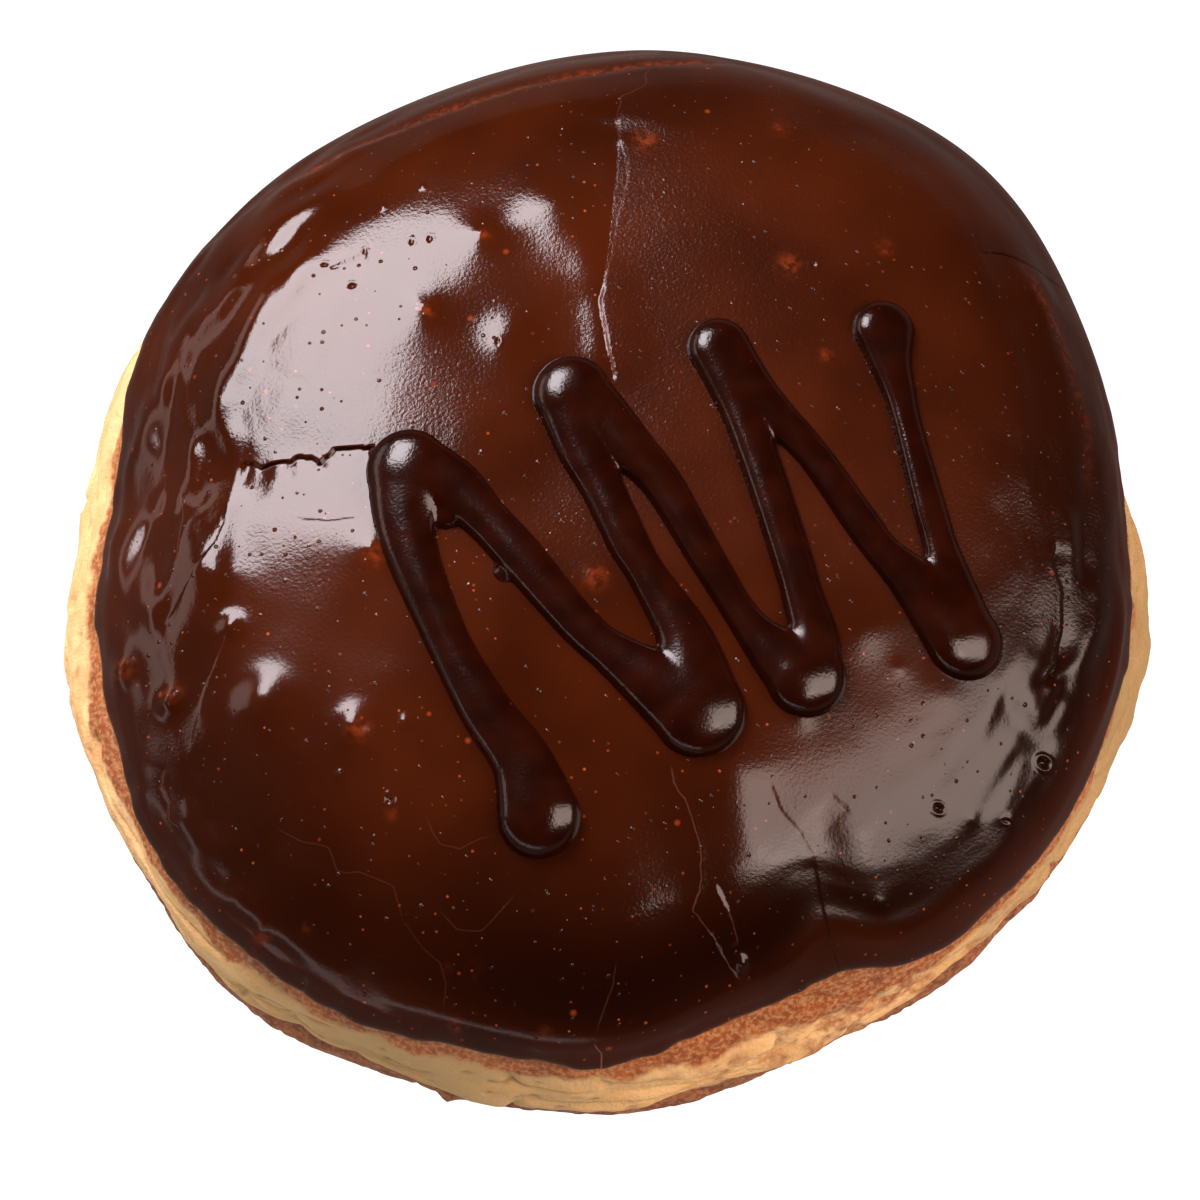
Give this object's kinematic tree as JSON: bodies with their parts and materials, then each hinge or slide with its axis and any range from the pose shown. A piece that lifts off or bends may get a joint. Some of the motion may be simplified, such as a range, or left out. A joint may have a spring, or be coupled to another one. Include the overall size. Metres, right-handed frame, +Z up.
{
  "type": "boston cream doughnut",
  "caption": "Round filled doughnut with a pale ring round its waist, a domed chocolate icing top and a piped chocolate zigzag.",
  "frame": {"origin": "centre of the bounding box in plan, on the plane that the base rests on", "axes": "+Z up out of the icing's crown; +Y away from the viewer of the picture, +X to their right"},
  "size_m": [0.0966, 0.0986, 0.0434],
  "materials": {
    "fried_dough": "fried yeast dough, golden brown crust with a pale cream ring round the waist, soft and dull",
    "chocolate_icing": "set dark chocolate icing, glossy, finely crinkled, with a darker piped zigzag"
  },
  "bodies": {
    "root": {"dough_bun": "fried_dough", "chocolate_icing": "chocolate_icing"}
  },
  "joints": []
}
